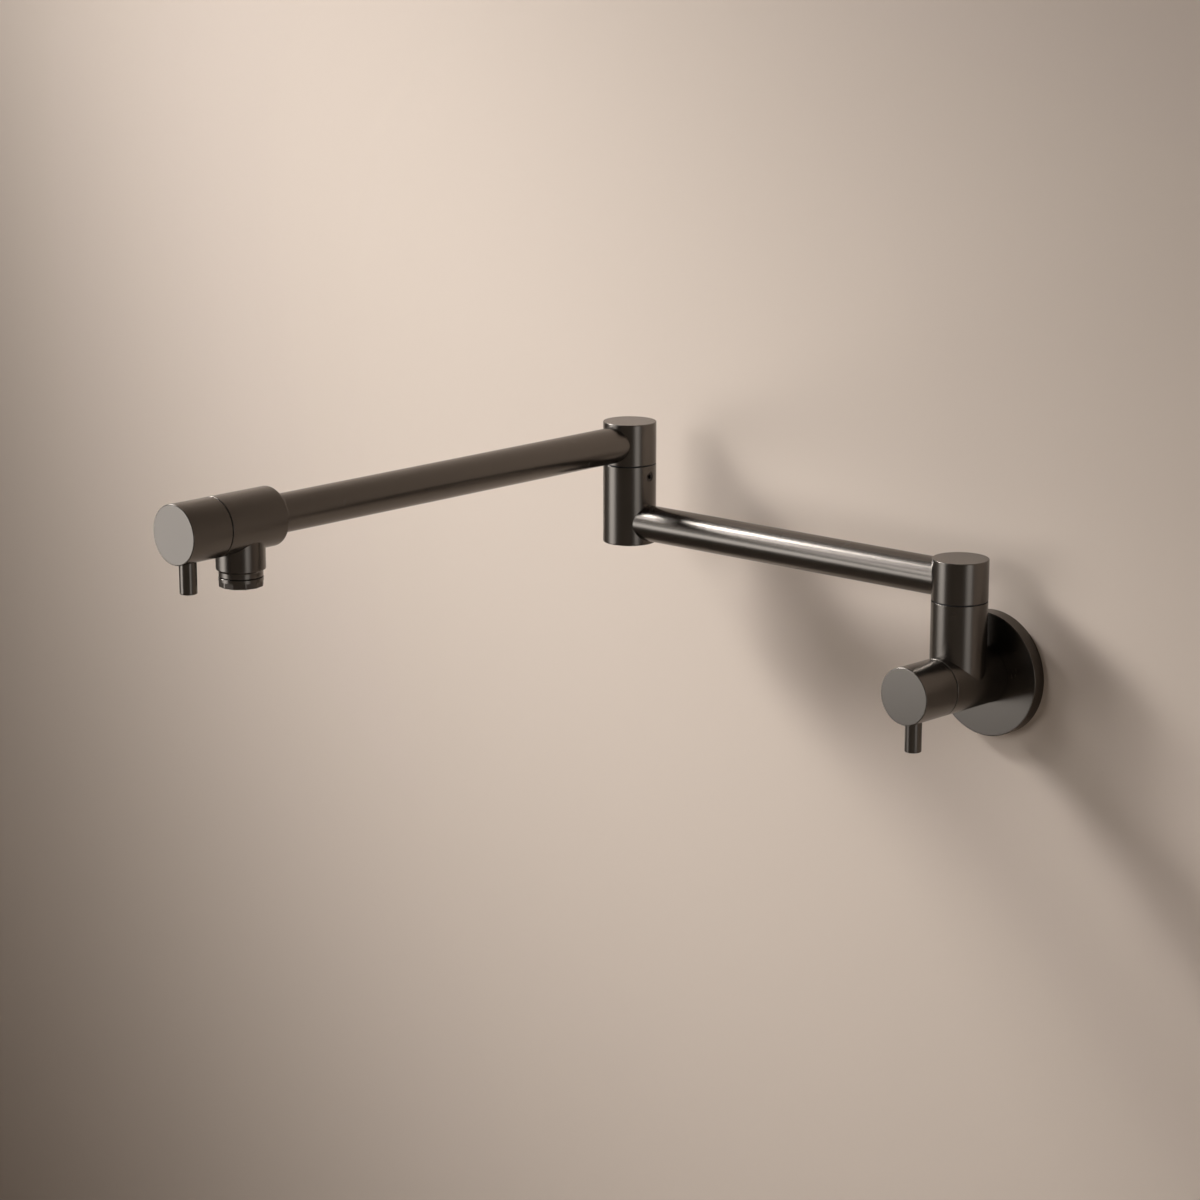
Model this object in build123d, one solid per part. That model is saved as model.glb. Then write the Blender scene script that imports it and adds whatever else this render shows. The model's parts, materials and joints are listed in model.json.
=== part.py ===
from build123d import *
import os
from math import cos, pi, radians, sin, sqrt

# A wall-mounted pot filler: a wall valve, two swing arms and an outlet valve.
# Millimetres. The wall is the plane Y = 0, the room is on the -Y side and Z is up.
# The origin is where the axis of the inlet meets the wall.

# Pose in which the arms stand at rest, as plan angles from +X
lower_arm_angle = 183.7
upper_arm_angle = 272.3

# Outer sizes of the wall valve
flange_diameter = 66.8
flange_thickness = 7.6
barrel_diameter = 30.5
post_diameter = 29.7
riser_offset = 29.8
riser_to_seam = 18.0
riser_seam_height = 43.4

# Outer sizes of the arms
tube_diameter = 20.0
tube_wall = 1.5
riser_head_height = 22.4
riser_arm_rise = 10.6
lower_arm_length = 226.0
elbow_floor_drop = 12.1
elbow_seam_rise = 32.3
elbow_arm_rise = 11.9
elbow_head_height = 23.8
upper_arm_length = 287.0

# Outer sizes of the spout
spout_to_seam = 17.1
collar_diameter = 25.0
collar_drop = 23.5
collar_bevel = 0.9
neck_diameter = 22.3
neck_length = 2.8
aerator_diameter = 22.6
aerator_height = 4.7
aerator_flats = 12
aerator_flats_height = 2.9
aerator_gap = 0.4

# Outer sizes of the knobs
knob_length = 25.5
knob_gap = 0.5
pin_diameter = 8.8
pin_reach = 30.7
pin_setback = 8.5
edge_break = 0.4

# Fits
running_clearance = 0.05
seal_clearance = 0.03
thread_clearance = 0.05
braze_clearance = 0.03
end_gap = 0.5

# Wall flange, gasket and the ring that grips the barrel
flange_plate = 2.5
flange_rim = 3.0
flange_bore_clearance = 0.1
hub_wall = 4.6
hub_setback = 1.0
gasket_width = 4.2
flange_ring_section = 1.6
flange_ring_station = 3.6

# Inlet nipple, a half-inch pipe thread outside and a plain spigot inside
inlet_thread_diameter = 20.955
inlet_thread_length = 16.0
inlet_thread_lead_in = 1.0
inlet_bore_diameter = 12.0
nipple_spigot_diameter = 19.0
nipple_ring_section = 1.5
nipple_ring_inset = 1.0
lock_screw_diameter = 4.0
lock_screw_station = 4.0

# Ceramic cartridge, the same in both valves
cartridge_depth = 27.0
cartridge_thread_diameter = 18.0
cartridge_thread_length = 10.0
cartridge_land = 1.0
cartridge_nose_diameter = 15.6
cartridge_hex_flats = 19.0
cartridge_hex_height = 3.5
cartridge_neck_diameter = 12.0
cartridge_neck_end = 6.0
cartridge_ring_section = 1.4
disc_diameter = 12.8
fixed_disc_thickness = 2.5
moving_disc_thickness = 2.2
disc_port_inner = 2.2
disc_port_outer = 5.2
disc_port_angle = 76.0
seat_seal_thickness = 2.0
seat_seal_proud = 0.8
seat_hole_diameter = 9.0
seat_wall = 3.5
piston_low = 13.0
piston_top = 5.3
piston_ring_section = 1.3
window_width = 7.0
tongue_width = 2.6
tongue_length = 9.0
tongue_depth = 1.0
spindle_diameter = 8.8
spline_diameter = 8.0
spline_depth = 0.4
spline_teeth = 20
clip_diameter = 11.2
clip_thickness = 0.8
clip_groove_depth = 0.7

# Inside of the knobs
hex_room = 0.55
knob_hollow_depth = 8.0
pin_seat = 12.0
pin_tail = 2.6
knob_screw_diameter = 5.0
screw_socket_depth = 1.5

# Swivels, the same at the riser and at the elbow
seam_gap = 0.6
journal_diameter = 20.0
journal_length = 25.0
journal_bore = 11.0
stem_diameter = 18.0
stem_length = 6.5
swivel_ring_section = 1.6
swivel_ring_drop = 13.0
swivel_ring_spacing = 6.0
retaining_screw_diameter = 5.0
retaining_screw_drop = 6.0
retaining_screw_recess = 0.4
retaining_groove_depth = 1.1
retaining_screw_bite = 0.7
retaining_groove_play = 0.3
washer_thickness = 0.9
washer_margin = 0.85
washer_room = 0.3

# Waterways and the bosses that the arm tubes are brazed on
waterway_diameter = 12.0
boss_length = 8.0
tube_socket_depth = 6.3

# Aerator
neck_wall = 1.3
aerator_thread_depth = 7.2
aerator_wall = 1.15
aerator_lip = 0.8
aerator_lip_height = 0.7
aerator_washer_thickness = 1.5
insert_height = 8.4
cell_flats = 1.5
cell_wall = 0.4
cell_rings = 3

# Sizes that follow from those above
flange_radius = flange_diameter / 2
barrel_radius = barrel_diameter / 2
post_radius = post_diameter / 2
tube_radius = tube_diameter / 2
tube_bore_radius = tube_radius - tube_wall
waterway_radius = waterway_diameter / 2
inlet_body_length = riser_offset + riser_to_seam
outlet_body_length = cartridge_depth + seat_wall + tube_socket_depth
lower_arm_height = riser_seam_height + riser_arm_rise
elbow_seam_height = lower_arm_height + elbow_seam_rise
elbow_socket_height = elbow_seam_rise + elbow_floor_drop
journal_radius = journal_diameter / 2
swivel_bore_radius = journal_radius + running_clearance
swivel_bore_depth = journal_length + end_gap
cartridge_bore_radius = cartridge_thread_diameter / 2 + thread_clearance
disc_bore_radius = disc_diameter / 2 + running_clearance
cartridge_hex_radius = cartridge_hex_flats / sqrt(3)
seat_hole_radius = seat_hole_diameter / 2
spindle_radius = spindle_diameter / 2
spline_radius = spline_diameter / 2
pin_station = knob_length - pin_setback
spindle_end = pin_station + knob_screw_diameter / 2 + end_gap
neck_end = collar_drop + collar_bevel + neck_length
aerator_top = neck_end + aerator_gap
aerator_bottom = aerator_top + aerator_height
aerator_thread_radius = neck_diameter / 2 - neck_wall
aerator_seat = neck_end - aerator_thread_depth
aerator_stem_radius = aerator_thread_radius - thread_clearance
aerator_bore_radius = aerator_stem_radius - aerator_wall


def heading(angle):
    """A level direction from its plan angle."""
    return Vector(cos(radians(angle)), sin(radians(angle)), 0)


# Frames: each valve has Z out of its knob and Y up, each swivel has Z up from its seam
up = Vector(0, 0, 1)
room = Vector(0, -1, 0)
lower_way = heading(lower_arm_angle)
upper_way = heading(upper_arm_angle)
riser_seam = Vector(0, -riser_offset, riser_seam_height)
elbow_seam = Vector(0, -riser_offset, elbow_seam_height) + lower_way * lower_arm_length
outlet_seam = elbow_seam + up * elbow_arm_rise + upper_way * (upper_arm_length + spout_to_seam)
wall_frame = Plane(origin=(0, 0, 0), x_dir=up.cross(room), z_dir=room)
inlet_frame = Plane(origin=room * inlet_body_length, x_dir=up.cross(room), z_dir=room)
outlet_frame = Plane(origin=outlet_seam, x_dir=up.cross(upper_way), z_dir=upper_way)
riser_frame = Plane(origin=riser_seam, x_dir=room * -1, z_dir=up)
riser_head_frame = Plane(origin=riser_seam, x_dir=lower_way, z_dir=up)
elbow_frame = Plane(origin=elbow_seam, x_dir=lower_way * -1, z_dir=up)
elbow_head_frame = Plane(origin=elbow_seam, x_dir=upper_way, z_dir=up)
downward = Rot(90, 0, 0)
sideways = Rot(0, 90, 0)
pin_place = Pos(0, 0, pin_station) * downward
spout_place = Pos(0, 0, -spout_to_seam) * downward


def rod(radius, low, high):
    """A round bar on the Z axis between two heights."""
    bar = Cylinder(radius, high - low, align=(Align.CENTER, Align.CENTER, Align.MIN))
    return Pos(0, 0, low) * bar


def ring(inner, outer, low, high):
    """A round sleeve on the Z axis between two heights."""
    return rod(outer, low, high) - rod(inner, low, high)


def turned(*corners):
    """A solid turned about Z from the (radius, height) corners of its half section.

    A corner that is given twice, as by a bevel of nothing, counts once.
    """
    section = [(radius, 0, height) for radius, height in dict.fromkeys(corners)]
    return revolve(make_face(Polyline(*section, close=True)), Axis.Z)


def broken_rod(radius, low, high, low_break, high_break):
    """A round bar whose two rims are bevelled by the given amounts."""
    return turned(
        (0, low),
        (radius - low_break, low),
        (radius, low + low_break),
        (radius, high - high_break),
        (radius - high_break, high),
        (0, high),
    )


def prism(flats, sides, low, high):
    """An upright prism with a regular outline, given its width across the flats."""
    corner = flats / 2 / cos(pi / sides)
    return Pos(0, 0, low) * extrude(RegularPolygon(corner, sides), high - low)


def seal_ring(inner, section, height):
    """A round-section rubber ring lying level at a height."""
    return Pos(0, 0, height) * Torus(inner + section / 2, section / 2)


def set_screw(diameter, tip, head):
    """A headless screw along Z from its tip to its head, with a hexagon socket."""
    shank = broken_rod(diameter / 2, tip, head, edge_break, 0)
    return shank - prism(diameter / 2, 6, head - screw_socket_depth, head)


# Wall flange
def make_wall_flange():
    bore = barrel_radius + flange_bore_clearance
    hub = bore + hub_wall
    flange = broken_rod(flange_radius, 0, flange_thickness, 0, edge_break)
    flange -= rod(bore, 0, flange_thickness)
    flange -= ring(hub, flange_radius - flange_rim, 0, flange_thickness - flange_plate)
    flange -= ring(bore, hub, 0, hub_setback)
    low = flange_ring_station - flange_ring_section / 2
    high = flange_ring_station + flange_ring_section / 2
    return flange - ring(bore, barrel_radius + flange_ring_section, low, high)


def make_flange_gasket():
    outer = flange_radius - flange_rim - thread_clearance
    return ring(outer - gasket_width, outer, 0, flange_thickness - flange_plate)


# Valve body: a level barrel with the riser standing on it
def cartridge_room():
    """The bore that takes a cartridge, with the hole of its seat."""
    hole = rod(seat_hole_radius, -cartridge_depth - seat_wall, -cartridge_depth)
    return rod(cartridge_bore_radius, -cartridge_depth, 0) + hole


def swivel_room():
    """The bore that takes a swivel journal, with the hole of its retaining screw."""
    hole = rod(retaining_screw_diameter / 2 + thread_clearance, 0, post_radius)
    return rod(swivel_bore_radius, -swivel_bore_depth, 0) + Pos(0, 0, -retaining_screw_drop) * sideways * hole


def make_valve_body():
    back = end_gap - inlet_body_length
    barrel = inlet_frame * broken_rod(barrel_radius, back, 0, 0, edge_break)
    riser = riser_frame * broken_rod(post_radius, -riser_seam_height, 0, 0, edge_break)
    spigot_bore = rod(nipple_spigot_diameter / 2 + running_clearance, back, -cartridge_depth - seat_wall)
    screw_hole = rod(lock_screw_diameter / 2 + thread_clearance, 0, barrel_radius)
    body = barrel + riser
    body -= inlet_frame * (cartridge_room() + spigot_bore)
    body -= riser_frame * swivel_room()
    body -= riser_frame * rod(waterway_radius, -riser_seam_height, -swivel_bore_depth)
    return body - wall_frame * Pos(0, 0, lock_screw_station) * downward * screw_hole


# Inlet nipple and its lock screw
nipple_spigot_radius = nipple_spigot_diameter / 2
nipple_spigot_end = inlet_body_length - cartridge_depth - seat_wall - end_gap
nipple_ring_floor = nipple_spigot_radius - nipple_ring_section
nipple_ring_height = nipple_spigot_end - nipple_ring_inset - nipple_ring_section / 2
lock_groove_floor = nipple_spigot_radius - retaining_groove_depth


def make_inlet_nipple():
    tail = broken_rod(inlet_thread_diameter / 2, -inlet_thread_length, 0, inlet_thread_lead_in, 0)
    nipple = tail + rod(nipple_spigot_radius, 0, nipple_spigot_end)
    nipple -= rod(inlet_bore_diameter / 2, -inlet_thread_length, nipple_spigot_end)
    ring_half = nipple_ring_section / 2
    nipple -= ring(
        nipple_ring_floor,
        nipple_spigot_radius,
        nipple_ring_height - ring_half,
        nipple_ring_height + ring_half,
    )
    lock_half = lock_screw_diameter / 2 + retaining_groove_play
    return nipple - ring(
        lock_groove_floor,
        nipple_spigot_radius,
        lock_screw_station - lock_half,
        lock_screw_station + lock_half,
    )


def make_nipple_lock_screw():
    screw = set_screw(lock_screw_diameter, lock_groove_floor, barrel_radius - retaining_screw_recess)
    return Pos(0, 0, lock_screw_station) * downward * screw


# Cartridge: heights are measured from the seam between barrel and knob
seal_top = seat_seal_thickness - cartridge_depth
fixed_disc_top = seal_top + fixed_disc_thickness
moving_disc_low = fixed_disc_top + seal_clearance
moving_disc_top = moving_disc_low + moving_disc_thickness
nose_end = seat_seal_proud - cartridge_depth
cartridge_ring_floor = cartridge_thread_diameter / 2 - cartridge_ring_section
piston_radius = disc_bore_radius - running_clearance
piston_ring_floor = disc_bore_radius - seal_clearance - piston_ring_section
piston_ring_height = -(piston_low + piston_top) / 2
clip_low = cartridge_neck_end + running_clearance * 2
clip_floor = spindle_radius - clip_groove_depth


def disc_ports(low, high, turn):
    """Two opposite fan-shaped ports through a disc."""
    side = disc_port_outer * 2
    half = radians(disc_port_angle / 2)
    corners = [(0, 0), (side * cos(half), -side * sin(half)), (side * cos(half), side * sin(half))]
    fan = Pos(0, 0, low) * extrude(make_face(Polyline(*corners, close=True)), high - low)
    port = ring(disc_port_inner, disc_port_outer, low, high) & fan
    return Rot(0, 0, turn) * port + Rot(0, 0, turn + 180) * port


def make_cartridge_housing():
    ring_top = -cartridge_thread_length
    ring_low = ring_top - cartridge_ring_section
    housing = rod(cartridge_nose_diameter / 2, nose_end, ring_low)
    housing += rod(cartridge_thread_diameter / 2, ring_low - cartridge_land, ring_low)
    housing += rod(cartridge_ring_floor, ring_low, ring_top)
    housing += rod(cartridge_thread_diameter / 2, ring_top, 0)
    housing += prism(cartridge_hex_flats, 6, 0, cartridge_hex_height)
    housing += rod(cartridge_neck_diameter / 2, cartridge_hex_height, cartridge_neck_end)
    housing -= rod(disc_bore_radius, nose_end, -piston_top + end_gap)
    housing -= rod(spindle_radius + running_clearance, -piston_top, cartridge_neck_end)
    window_high = -piston_low - end_gap
    window_middle = (moving_disc_top + window_high) / 2
    window = Box(window_width, cartridge_thread_diameter, window_high - moving_disc_top)
    return housing - Pos(0, 0, window_middle) * window


def make_cartridge_ring():
    height = -cartridge_thread_length - cartridge_ring_section / 2
    return seal_ring(cartridge_ring_floor, cartridge_ring_section, height)


def make_seat_seal():
    return ring(seat_hole_radius, disc_diameter / 2, -cartridge_depth, seal_top)


def make_fixed_disc():
    disc = rod(disc_diameter / 2, seal_top, fixed_disc_top)
    return disc - disc_ports(seal_top, fixed_disc_top, 0)


def make_moving_disc():
    disc = rod(disc_diameter / 2 - running_clearance, moving_disc_low, moving_disc_top)
    disc -= disc_ports(moving_disc_low, moving_disc_top, 90)
    slot = Box(tongue_length + end_gap, tongue_width + end_gap, tongue_depth * 2)
    return disc - Pos(0, 0, moving_disc_top) * slot


def spline_bar(low, high):
    """A bar with pointed teeth all round it."""
    step = pi / spline_teeth
    radii = [spline_radius, spline_radius - spline_depth] * spline_teeth
    corners = [(r * cos(i * step), r * sin(i * step)) for i, r in enumerate(radii)]
    return Pos(0, 0, low) * extrude(make_face(Polyline(*corners, close=True)), high - low)


def make_spindle():
    tongue_low = moving_disc_top - tongue_depth + seal_clearance
    tongue_height = -piston_low - tongue_low
    tongue = Pos(0, 0, tongue_low + tongue_height / 2) * Box(tongue_length, tongue_width, tongue_height)
    shank_end = clip_low + clip_thickness * 2
    spindle = tongue + rod(piston_radius, -piston_low, -piston_top)
    spindle += rod(spindle_radius, -piston_top, shank_end) + spline_bar(shank_end, spindle_end)
    half = piston_ring_section / 2
    spindle -= ring(piston_ring_floor, piston_radius, piston_ring_height - half, piston_ring_height + half)
    return spindle - ring(clip_floor, spindle_radius, clip_low, clip_low + clip_thickness)


def make_spindle_ring():
    return seal_ring(piston_ring_floor, piston_ring_section, piston_ring_height)


def make_spindle_clip():
    """A flat spring ring, open on one side so that it slides into its groove."""
    clip = ring(clip_floor, clip_diameter / 2, clip_low, clip_low + clip_thickness)
    mouth = Box(clip_diameter, clip_floor * 2, clip_thickness * 4)
    return clip - Pos(clip_diameter / 2, 0, clip_low) * mouth


# Knob, its lever pin and the clamp screw behind the pin
pin_hole_radius = knob_screw_diameter / 2 + thread_clearance
knob_screw_top = pin_seat - pin_tail - end_gap


def make_knob():
    knob = broken_rod(barrel_radius, knob_gap, knob_length, edge_break, edge_break)
    knob -= rod(cartridge_hex_radius + hex_room, knob_gap, knob_hollow_depth)
    knob -= rod(spline_radius + thread_clearance, knob_hollow_depth, spindle_end + end_gap)
    knob -= pin_place * rod(pin_hole_radius, 0, pin_seat)
    return knob - pin_place * rod(pin_diameter / 2 + thread_clearance, pin_seat, barrel_diameter)


def make_lever_pin():
    shank = broken_rod(pin_diameter / 2, pin_seat, pin_reach, 0, edge_break)
    return pin_place * (shank + rod(knob_screw_diameter / 2, pin_seat - pin_tail, pin_seat))


def make_knob_screw():
    return pin_place * set_screw(knob_screw_diameter, spline_radius + seal_clearance, knob_screw_top)


# Swivels: heights are measured from the seam, upwards
washer_outer = post_radius - washer_margin
swivel_ring_floor = swivel_bore_radius - seal_clearance - swivel_ring_section
retaining_groove_floor = journal_radius - retaining_groove_depth
swivel_ring_heights = [-swivel_ring_drop, -swivel_ring_drop - swivel_ring_spacing]


def make_spigot():
    spigot = rod(journal_radius, -journal_length, washer_thickness)
    spigot += rod(stem_diameter / 2, washer_thickness, washer_thickness + stem_length)
    spigot -= rod(journal_bore / 2, -journal_length, washer_thickness + stem_length)
    groove_half = retaining_screw_diameter / 2 + retaining_groove_play
    spigot -= ring(
        retaining_groove_floor,
        journal_radius,
        -retaining_screw_drop - groove_half,
        -retaining_screw_drop + groove_half,
    )
    half = swivel_ring_section / 2
    for height in swivel_ring_heights:
        spigot -= ring(swivel_ring_floor, journal_radius, height - half, height + half)
    return spigot


def make_spigot_rings():
    upper, lower = [seal_ring(swivel_ring_floor, swivel_ring_section, h) for h in swivel_ring_heights]
    return upper + lower


def make_bearing_washer():
    return ring(journal_radius + washer_room, washer_outer, 0, washer_thickness)


def make_retaining_screw():
    tip = journal_radius - retaining_screw_bite
    screw = set_screw(retaining_screw_diameter, tip, post_radius - retaining_screw_recess)
    return Pos(0, 0, -retaining_screw_drop) * sideways * screw


def with_tube_boss(post, height):
    """The post with a hollow boss along X for an arm tube, open to the post's waterway."""
    boss_end = post_radius + boss_length
    place = Pos(0, 0, height) * sideways
    bossed = post + place * rod(tube_bore_radius - braze_clearance, 0, boss_end)
    return bossed - place * rod(waterway_radius, 0, boss_end)


def make_swivel_head(height, arm_rise):
    stem_top = washer_thickness + stem_length
    head = broken_rod(post_radius, seam_gap, height, edge_break, edge_break)
    head = with_tube_boss(head, arm_rise)
    head -= rod(washer_outer + thread_clearance, seam_gap, washer_thickness)
    head -= rod(stem_diameter / 2 + thread_clearance, washer_thickness, stem_top)
    return head - rod(journal_bore / 2, stem_top, arm_rise + waterway_radius)


def make_elbow_socket():
    socket = broken_rod(post_radius, -elbow_socket_height, 0, edge_break, edge_break)
    socket = with_tube_boss(socket, -elbow_seam_rise)
    socket -= swivel_room()
    return socket - rod(waterway_radius, -elbow_seam_rise - waterway_radius, -swivel_bore_depth)


# Arm tubes, their ends shaped to the posts they are brazed to
def arm_tube(start, way, length):
    """A tube from a point along a level direction."""
    return Plane(origin=start, x_dir=up, z_dir=way) * ring(tube_bore_radius, tube_radius, 0, length)


def post_space(frame):
    """The room that a post takes out of an arm tube."""
    reach = elbow_socket_height + elbow_head_height
    return frame * rod(post_radius + braze_clearance, -reach, reach)


def make_lower_arm_tube():
    tube = arm_tube(riser_seam + up * riser_arm_rise, lower_way, lower_arm_length)
    return tube - post_space(riser_head_frame) - post_space(elbow_frame)


def make_upper_arm_tube():
    length = upper_arm_length + spout_to_seam - outlet_body_length + tube_socket_depth
    tube = arm_tube(elbow_seam + up * elbow_arm_rise, upper_way, length)
    return tube - post_space(elbow_head_frame)


# Outlet body: a level barrel with the spout collar under it
def make_outlet_body():
    body = broken_rod(barrel_radius, -outlet_body_length, 0, edge_break * 2, edge_break)
    body += spout_place * turned(
        (0, 0),
        (collar_diameter / 2, 0),
        (collar_diameter / 2, collar_drop),
        (neck_diameter / 2, collar_drop + collar_bevel),
        (neck_diameter / 2, neck_end),
        (0, neck_end),
    )
    body -= cartridge_room()
    body -= rod(tube_radius + braze_clearance, -outlet_body_length, tube_socket_depth - outlet_body_length)
    body -= spout_place * rod(waterway_radius, 0, aerator_seat)
    return body - spout_place * rod(aerator_thread_radius, aerator_seat, neck_end)


# Aerator: heights are measured down from the axis of the outlet barrel
insert_low = aerator_bottom - aerator_lip_height


def make_aerator_ring():
    flats_top = aerator_bottom - aerator_flats_height
    grip_flats = aerator_diameter * cos(pi / aerator_flats)
    grip = prism(grip_flats, aerator_flats, flats_top, aerator_bottom)
    housing = rod(aerator_diameter / 2, aerator_top, flats_top) + grip
    housing += rod(aerator_stem_radius, aerator_seat + aerator_washer_thickness, aerator_top)
    housing -= rod(aerator_bore_radius, aerator_seat, insert_low)
    return housing - rod(aerator_bore_radius - aerator_lip, insert_low, aerator_bottom)


def make_aerator_insert():
    """A plug full of hexagonal cells that straightens the stream."""
    pitch = cell_flats + cell_wall
    steps = range(-cell_rings, cell_rings + 1)
    places = [(a, b) for a in steps for b in steps if abs(a + b) <= cell_rings]
    cell = prism(cell_flats, 6, insert_low - insert_height, insert_low)
    row_rise = pitch * sqrt(3) / 2
    cells = [Pos(b * row_rise, (a + b / 2) * pitch, 0) * cell for a, b in places]
    return rod(aerator_bore_radius - thread_clearance, insert_low - insert_height, insert_low) - cells


def make_aerator_washer():
    return ring(waterway_radius, aerator_stem_radius, aerator_seat, aerator_seat + aerator_washer_thickness)


nodes = {
    "wall_flange": wall_frame * make_wall_flange(),
    "flange_gasket": wall_frame * make_flange_gasket(),
    "flange_oring": wall_frame * seal_ring(barrel_radius, flange_ring_section, flange_ring_station),
    "valve_body": make_valve_body(),
    "inlet_nipple": wall_frame * make_inlet_nipple(),
    "nipple_oring": wall_frame * seal_ring(nipple_ring_floor, nipple_ring_section, nipple_ring_height),
    "nipple_lock_screw": wall_frame * make_nipple_lock_screw(),
    "riser_retaining_screw": riser_frame * make_retaining_screw(),
    "riser_head": riser_head_frame * make_swivel_head(riser_head_height, riser_arm_rise),
    "riser_spigot": riser_head_frame * make_spigot(),
    "riser_spigot_orings": riser_head_frame * make_spigot_rings(),
    "riser_bearing_washer": riser_head_frame * make_bearing_washer(),
    "lower_arm_tube": make_lower_arm_tube(),
    "elbow_socket": elbow_frame * make_elbow_socket(),
    "elbow_retaining_screw": elbow_frame * make_retaining_screw(),
    "elbow_head": elbow_head_frame * make_swivel_head(elbow_head_height, elbow_arm_rise),
    "elbow_spigot": elbow_head_frame * make_spigot(),
    "elbow_spigot_orings": elbow_head_frame * make_spigot_rings(),
    "elbow_bearing_washer": elbow_head_frame * make_bearing_washer(),
    "upper_arm_tube": make_upper_arm_tube(),
    "outlet_body": outlet_frame * make_outlet_body(),
    "aerator_ring": outlet_frame * spout_place * make_aerator_ring(),
    "aerator_insert": outlet_frame * spout_place * make_aerator_insert(),
    "aerator_washer": outlet_frame * spout_place * make_aerator_washer(),
}

valve_pieces = {
    "cartridge_housing": make_cartridge_housing(),
    "cartridge_oring": make_cartridge_ring(),
    "seat_seal": make_seat_seal(),
    "fixed_disc": make_fixed_disc(),
    "moving_disc": make_moving_disc(),
    "spindle": make_spindle(),
    "spindle_oring": make_spindle_ring(),
    "spindle_clip": make_spindle_clip(),
    "knob": make_knob(),
    "lever_pin": make_lever_pin(),
    "knob_screw": make_knob_screw(),
}

for valve, frame in (("inlet", inlet_frame), ("outlet", outlet_frame)):
    for piece, solid in valve_pieces.items():
        nodes[f"{valve}_{piece}"] = frame * solid

os.makedirs("parts", exist_ok=True)
for node, solid in nodes.items():
    export_step(solid, f"parts/{node}.step")
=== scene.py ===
# %% [markdown]
# # A folding pot filler in brushed gunmetal
#
# This lesson dresses a wall-mounted pot filler: a valve on the wall, two swing arms and a second valve
# at the spout. The working model is already there, in metres, as a fixed frame. What is left is how it
# looks: clean turned shapes with eased edges, a dark brushed finish, and the light it is seen in.

# %% Load the working model
import json
from math import radians

import bmesh
import bpy
import numpy as np
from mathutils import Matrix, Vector


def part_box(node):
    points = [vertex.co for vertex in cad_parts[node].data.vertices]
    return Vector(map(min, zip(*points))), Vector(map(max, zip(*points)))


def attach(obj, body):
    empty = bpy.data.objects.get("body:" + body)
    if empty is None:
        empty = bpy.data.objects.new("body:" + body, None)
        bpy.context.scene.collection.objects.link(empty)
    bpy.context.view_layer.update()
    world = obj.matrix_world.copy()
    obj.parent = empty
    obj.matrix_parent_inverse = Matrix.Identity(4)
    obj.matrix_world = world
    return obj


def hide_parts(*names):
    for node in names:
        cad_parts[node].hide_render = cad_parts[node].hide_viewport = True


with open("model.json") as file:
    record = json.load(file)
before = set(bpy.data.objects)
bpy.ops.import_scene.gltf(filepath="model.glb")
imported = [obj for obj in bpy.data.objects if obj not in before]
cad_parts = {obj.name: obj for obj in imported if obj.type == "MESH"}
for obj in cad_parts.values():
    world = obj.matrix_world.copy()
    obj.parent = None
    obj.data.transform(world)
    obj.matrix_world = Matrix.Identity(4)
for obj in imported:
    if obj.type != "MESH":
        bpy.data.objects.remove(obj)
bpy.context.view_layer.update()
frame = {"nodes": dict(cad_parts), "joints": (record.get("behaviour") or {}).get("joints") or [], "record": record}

# %% [markdown]
# ## Where everything stands
#
# Nothing is placed by eye. The joints say where the posts stand and which way the arms point. Shapes are
# easier to think about in millimetres, so places are turned to millimetres here and back to metres when a
# mesh is made.

# %% Axes read from the frame
MM = 0.001
UP = np.array([0.0, 0.0, 1.0])
ROOM = np.array([0.0, -1.0, 0.0])  # out of the wall and into the room
joints = {joint["name"]: joint for joint in frame["joints"]}


def joint_mm(name):
    """The point that a joint turns about, in millimetres."""
    return np.array(joints[name]["pos_m"]) / MM


def unit(vector):
    """The same direction, one long."""
    return vector / np.linalg.norm(vector)


def on_axis(foot, height):
    """A point on a post's axis at a height."""
    return np.array([foot[0], foot[1], height])


riser_foot = joint_mm("riser_swivel")
elbow_foot = joint_mm("elbow_swivel")
lower_arm_length = np.linalg.norm(elbow_foot - riser_foot)
lower_way = unit(elbow_foot - riser_foot)
upper_way = np.array(joints["outlet_handle_turn"]["axis"])
upper_arm_height = joint_mm("outlet_handle_turn")[2]
print(f"the posts stand {lower_arm_length:.1f} mm apart")

# %% [markdown]
# ## How large everything is
#
# The boxes of the working pieces give the radii, the lengths and the heights of the seams. They could be
# typed in as numbers, but then a change to the working model would leave the dressed one behind.

# %% Sizes read from the frame
def box_mm(node):
    """Lowest and highest corner of a piece, in millimetres."""
    low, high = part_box(node)
    return np.array(low) / MM, np.array(high) / MM


flange_low, flange_high = box_mm("wall_flange")
body_low, body_high = box_mm("valve_body")
knob_low, knob_high = box_mm("inlet_knob")
pin_low, pin_high = box_mm("inlet_lever_pin")
nipple_low, nipple_high = box_mm("inlet_nipple")
riser_cap_low, riser_cap_high = box_mm("riser_head")
socket_low, socket_high = box_mm("elbow_socket")
tube_low, tube_high = box_mm("lower_arm_tube")
outlet_low, outlet_high = box_mm("outlet_body")
aerator_low, aerator_high = box_mm("aerator_ring")
insert_low, insert_high = box_mm("aerator_insert")
elbow_top = box_mm("elbow_head")[1][2]
upper_tube_end = box_mm("upper_arm_tube")[0][1]

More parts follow.
